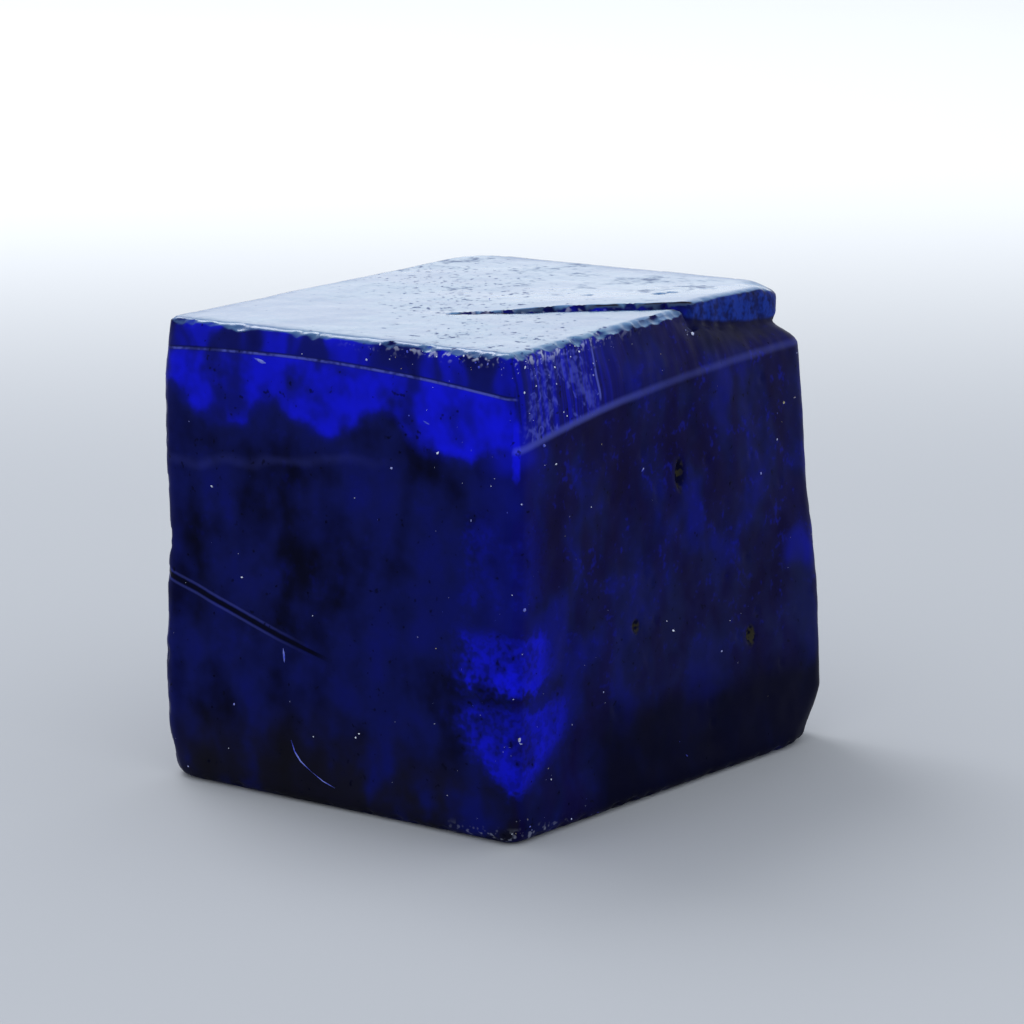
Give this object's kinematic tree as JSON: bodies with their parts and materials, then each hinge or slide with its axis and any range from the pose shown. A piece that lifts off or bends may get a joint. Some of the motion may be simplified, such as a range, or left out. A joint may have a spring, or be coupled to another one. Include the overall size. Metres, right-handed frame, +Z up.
{
  "type": "rough tanzanite crystal",
  "caption": "Near-cubic block of rough blue zoisite with broken, pitted faces, worn edges and an old fracture under its top corner; stands on its flattest face.",
  "frame": {"origin": "middle of the bounding box's underside, on the face the stone stands on", "axes": "+Z up. The scratched face looks along -Y, and the face with the sloping upper band looks along +X, so the worn front edge is at +X -Y and the notched corner at +X +Y"},
  "size_m": [0.026, 0.0288, 0.0261],
  "materials": {
    "tanzanite": "deep violet-blue see-through crystal, lustrous and lightly pitted, with a paler waxy top"
  },
  "bodies": {
    "root": {"rough_tanzanite": "tanzanite"}
  },
  "joints": []
}
